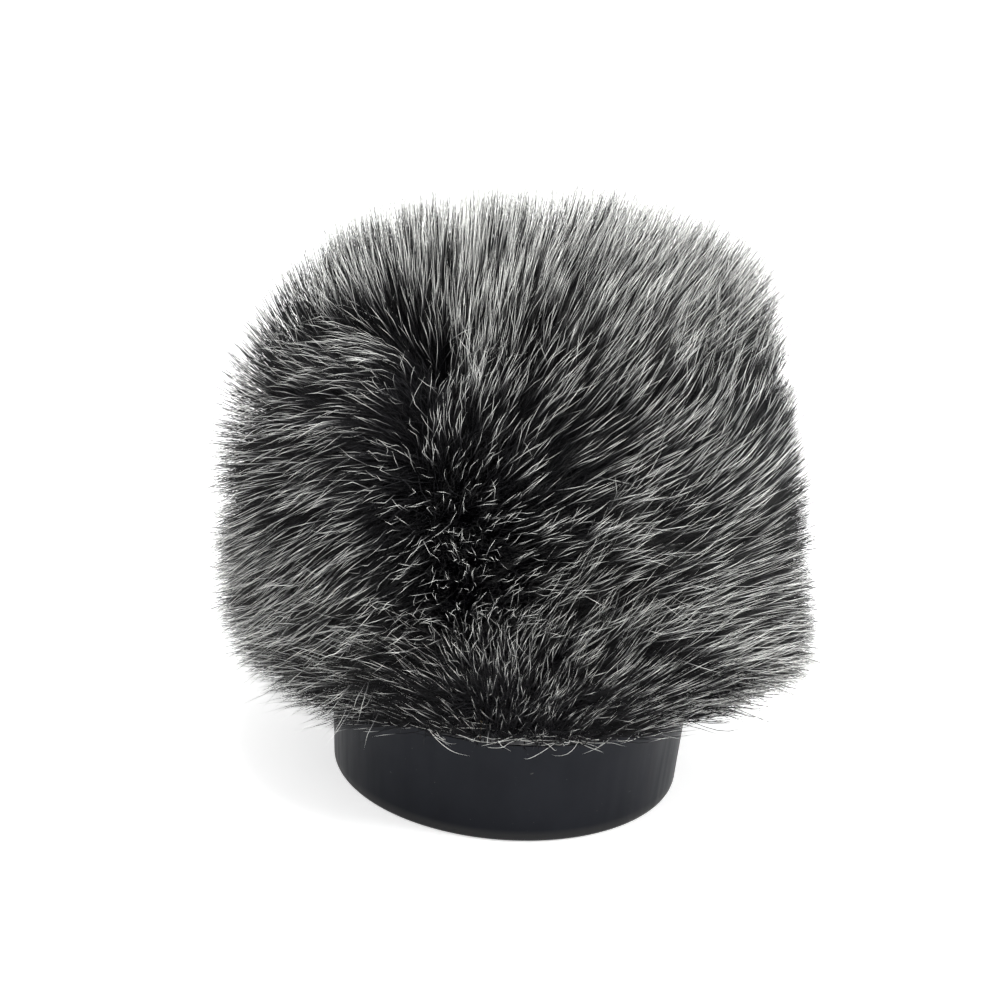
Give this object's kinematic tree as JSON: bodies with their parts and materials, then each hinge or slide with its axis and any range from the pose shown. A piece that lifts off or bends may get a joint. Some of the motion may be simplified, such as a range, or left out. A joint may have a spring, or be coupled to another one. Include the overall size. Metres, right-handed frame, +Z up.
{
  "type": "furry microphone windscreen",
  "caption": "Slip-on furry windscreen: foam-lined sleeve of silver and black long-pile fur fabric on a smooth black rubber collar that pushes onto a microphone.",
  "frame": {"origin": "middle of the collar's foot, on the surface that the windscreen stands on", "axes": "+Z up along the bore's axis to the top of the fur; -Y is the front, where the side seam is"},
  "size_m": [0.074, 0.074, 0.065],
  "materials": {
    "collar_rubber": "matt black moulded rubber",
    "foam": "charcoal open-cell foam",
    "adhesive": "dried amber contact glue",
    "knit": "black knitted ground fabric",
    "underfur": "dense near-black short pile",
    "guard_hair": "long hair, black at the root and silver at the tip",
    "thread": "black polyester sewing thread"
  },
  "bodies": {
    "root": {"rubber_collar": "collar_rubber", "foam_sleeve": "foam", "foam_top_disc": "foam", "foam_adhesive": "adhesive", "disc_adhesive": "adhesive", "hem_adhesive": "adhesive", "side_fabric": "knit", "top_fabric": "knit", "side_underfur": "underfur", "top_underfur": "underfur", "side_guard_hair": "guard_hair", "top_guard_hair": "guard_hair", "side_seam_thread": "thread", "top_seam_thread": "thread"}
  },
  "joints": []
}
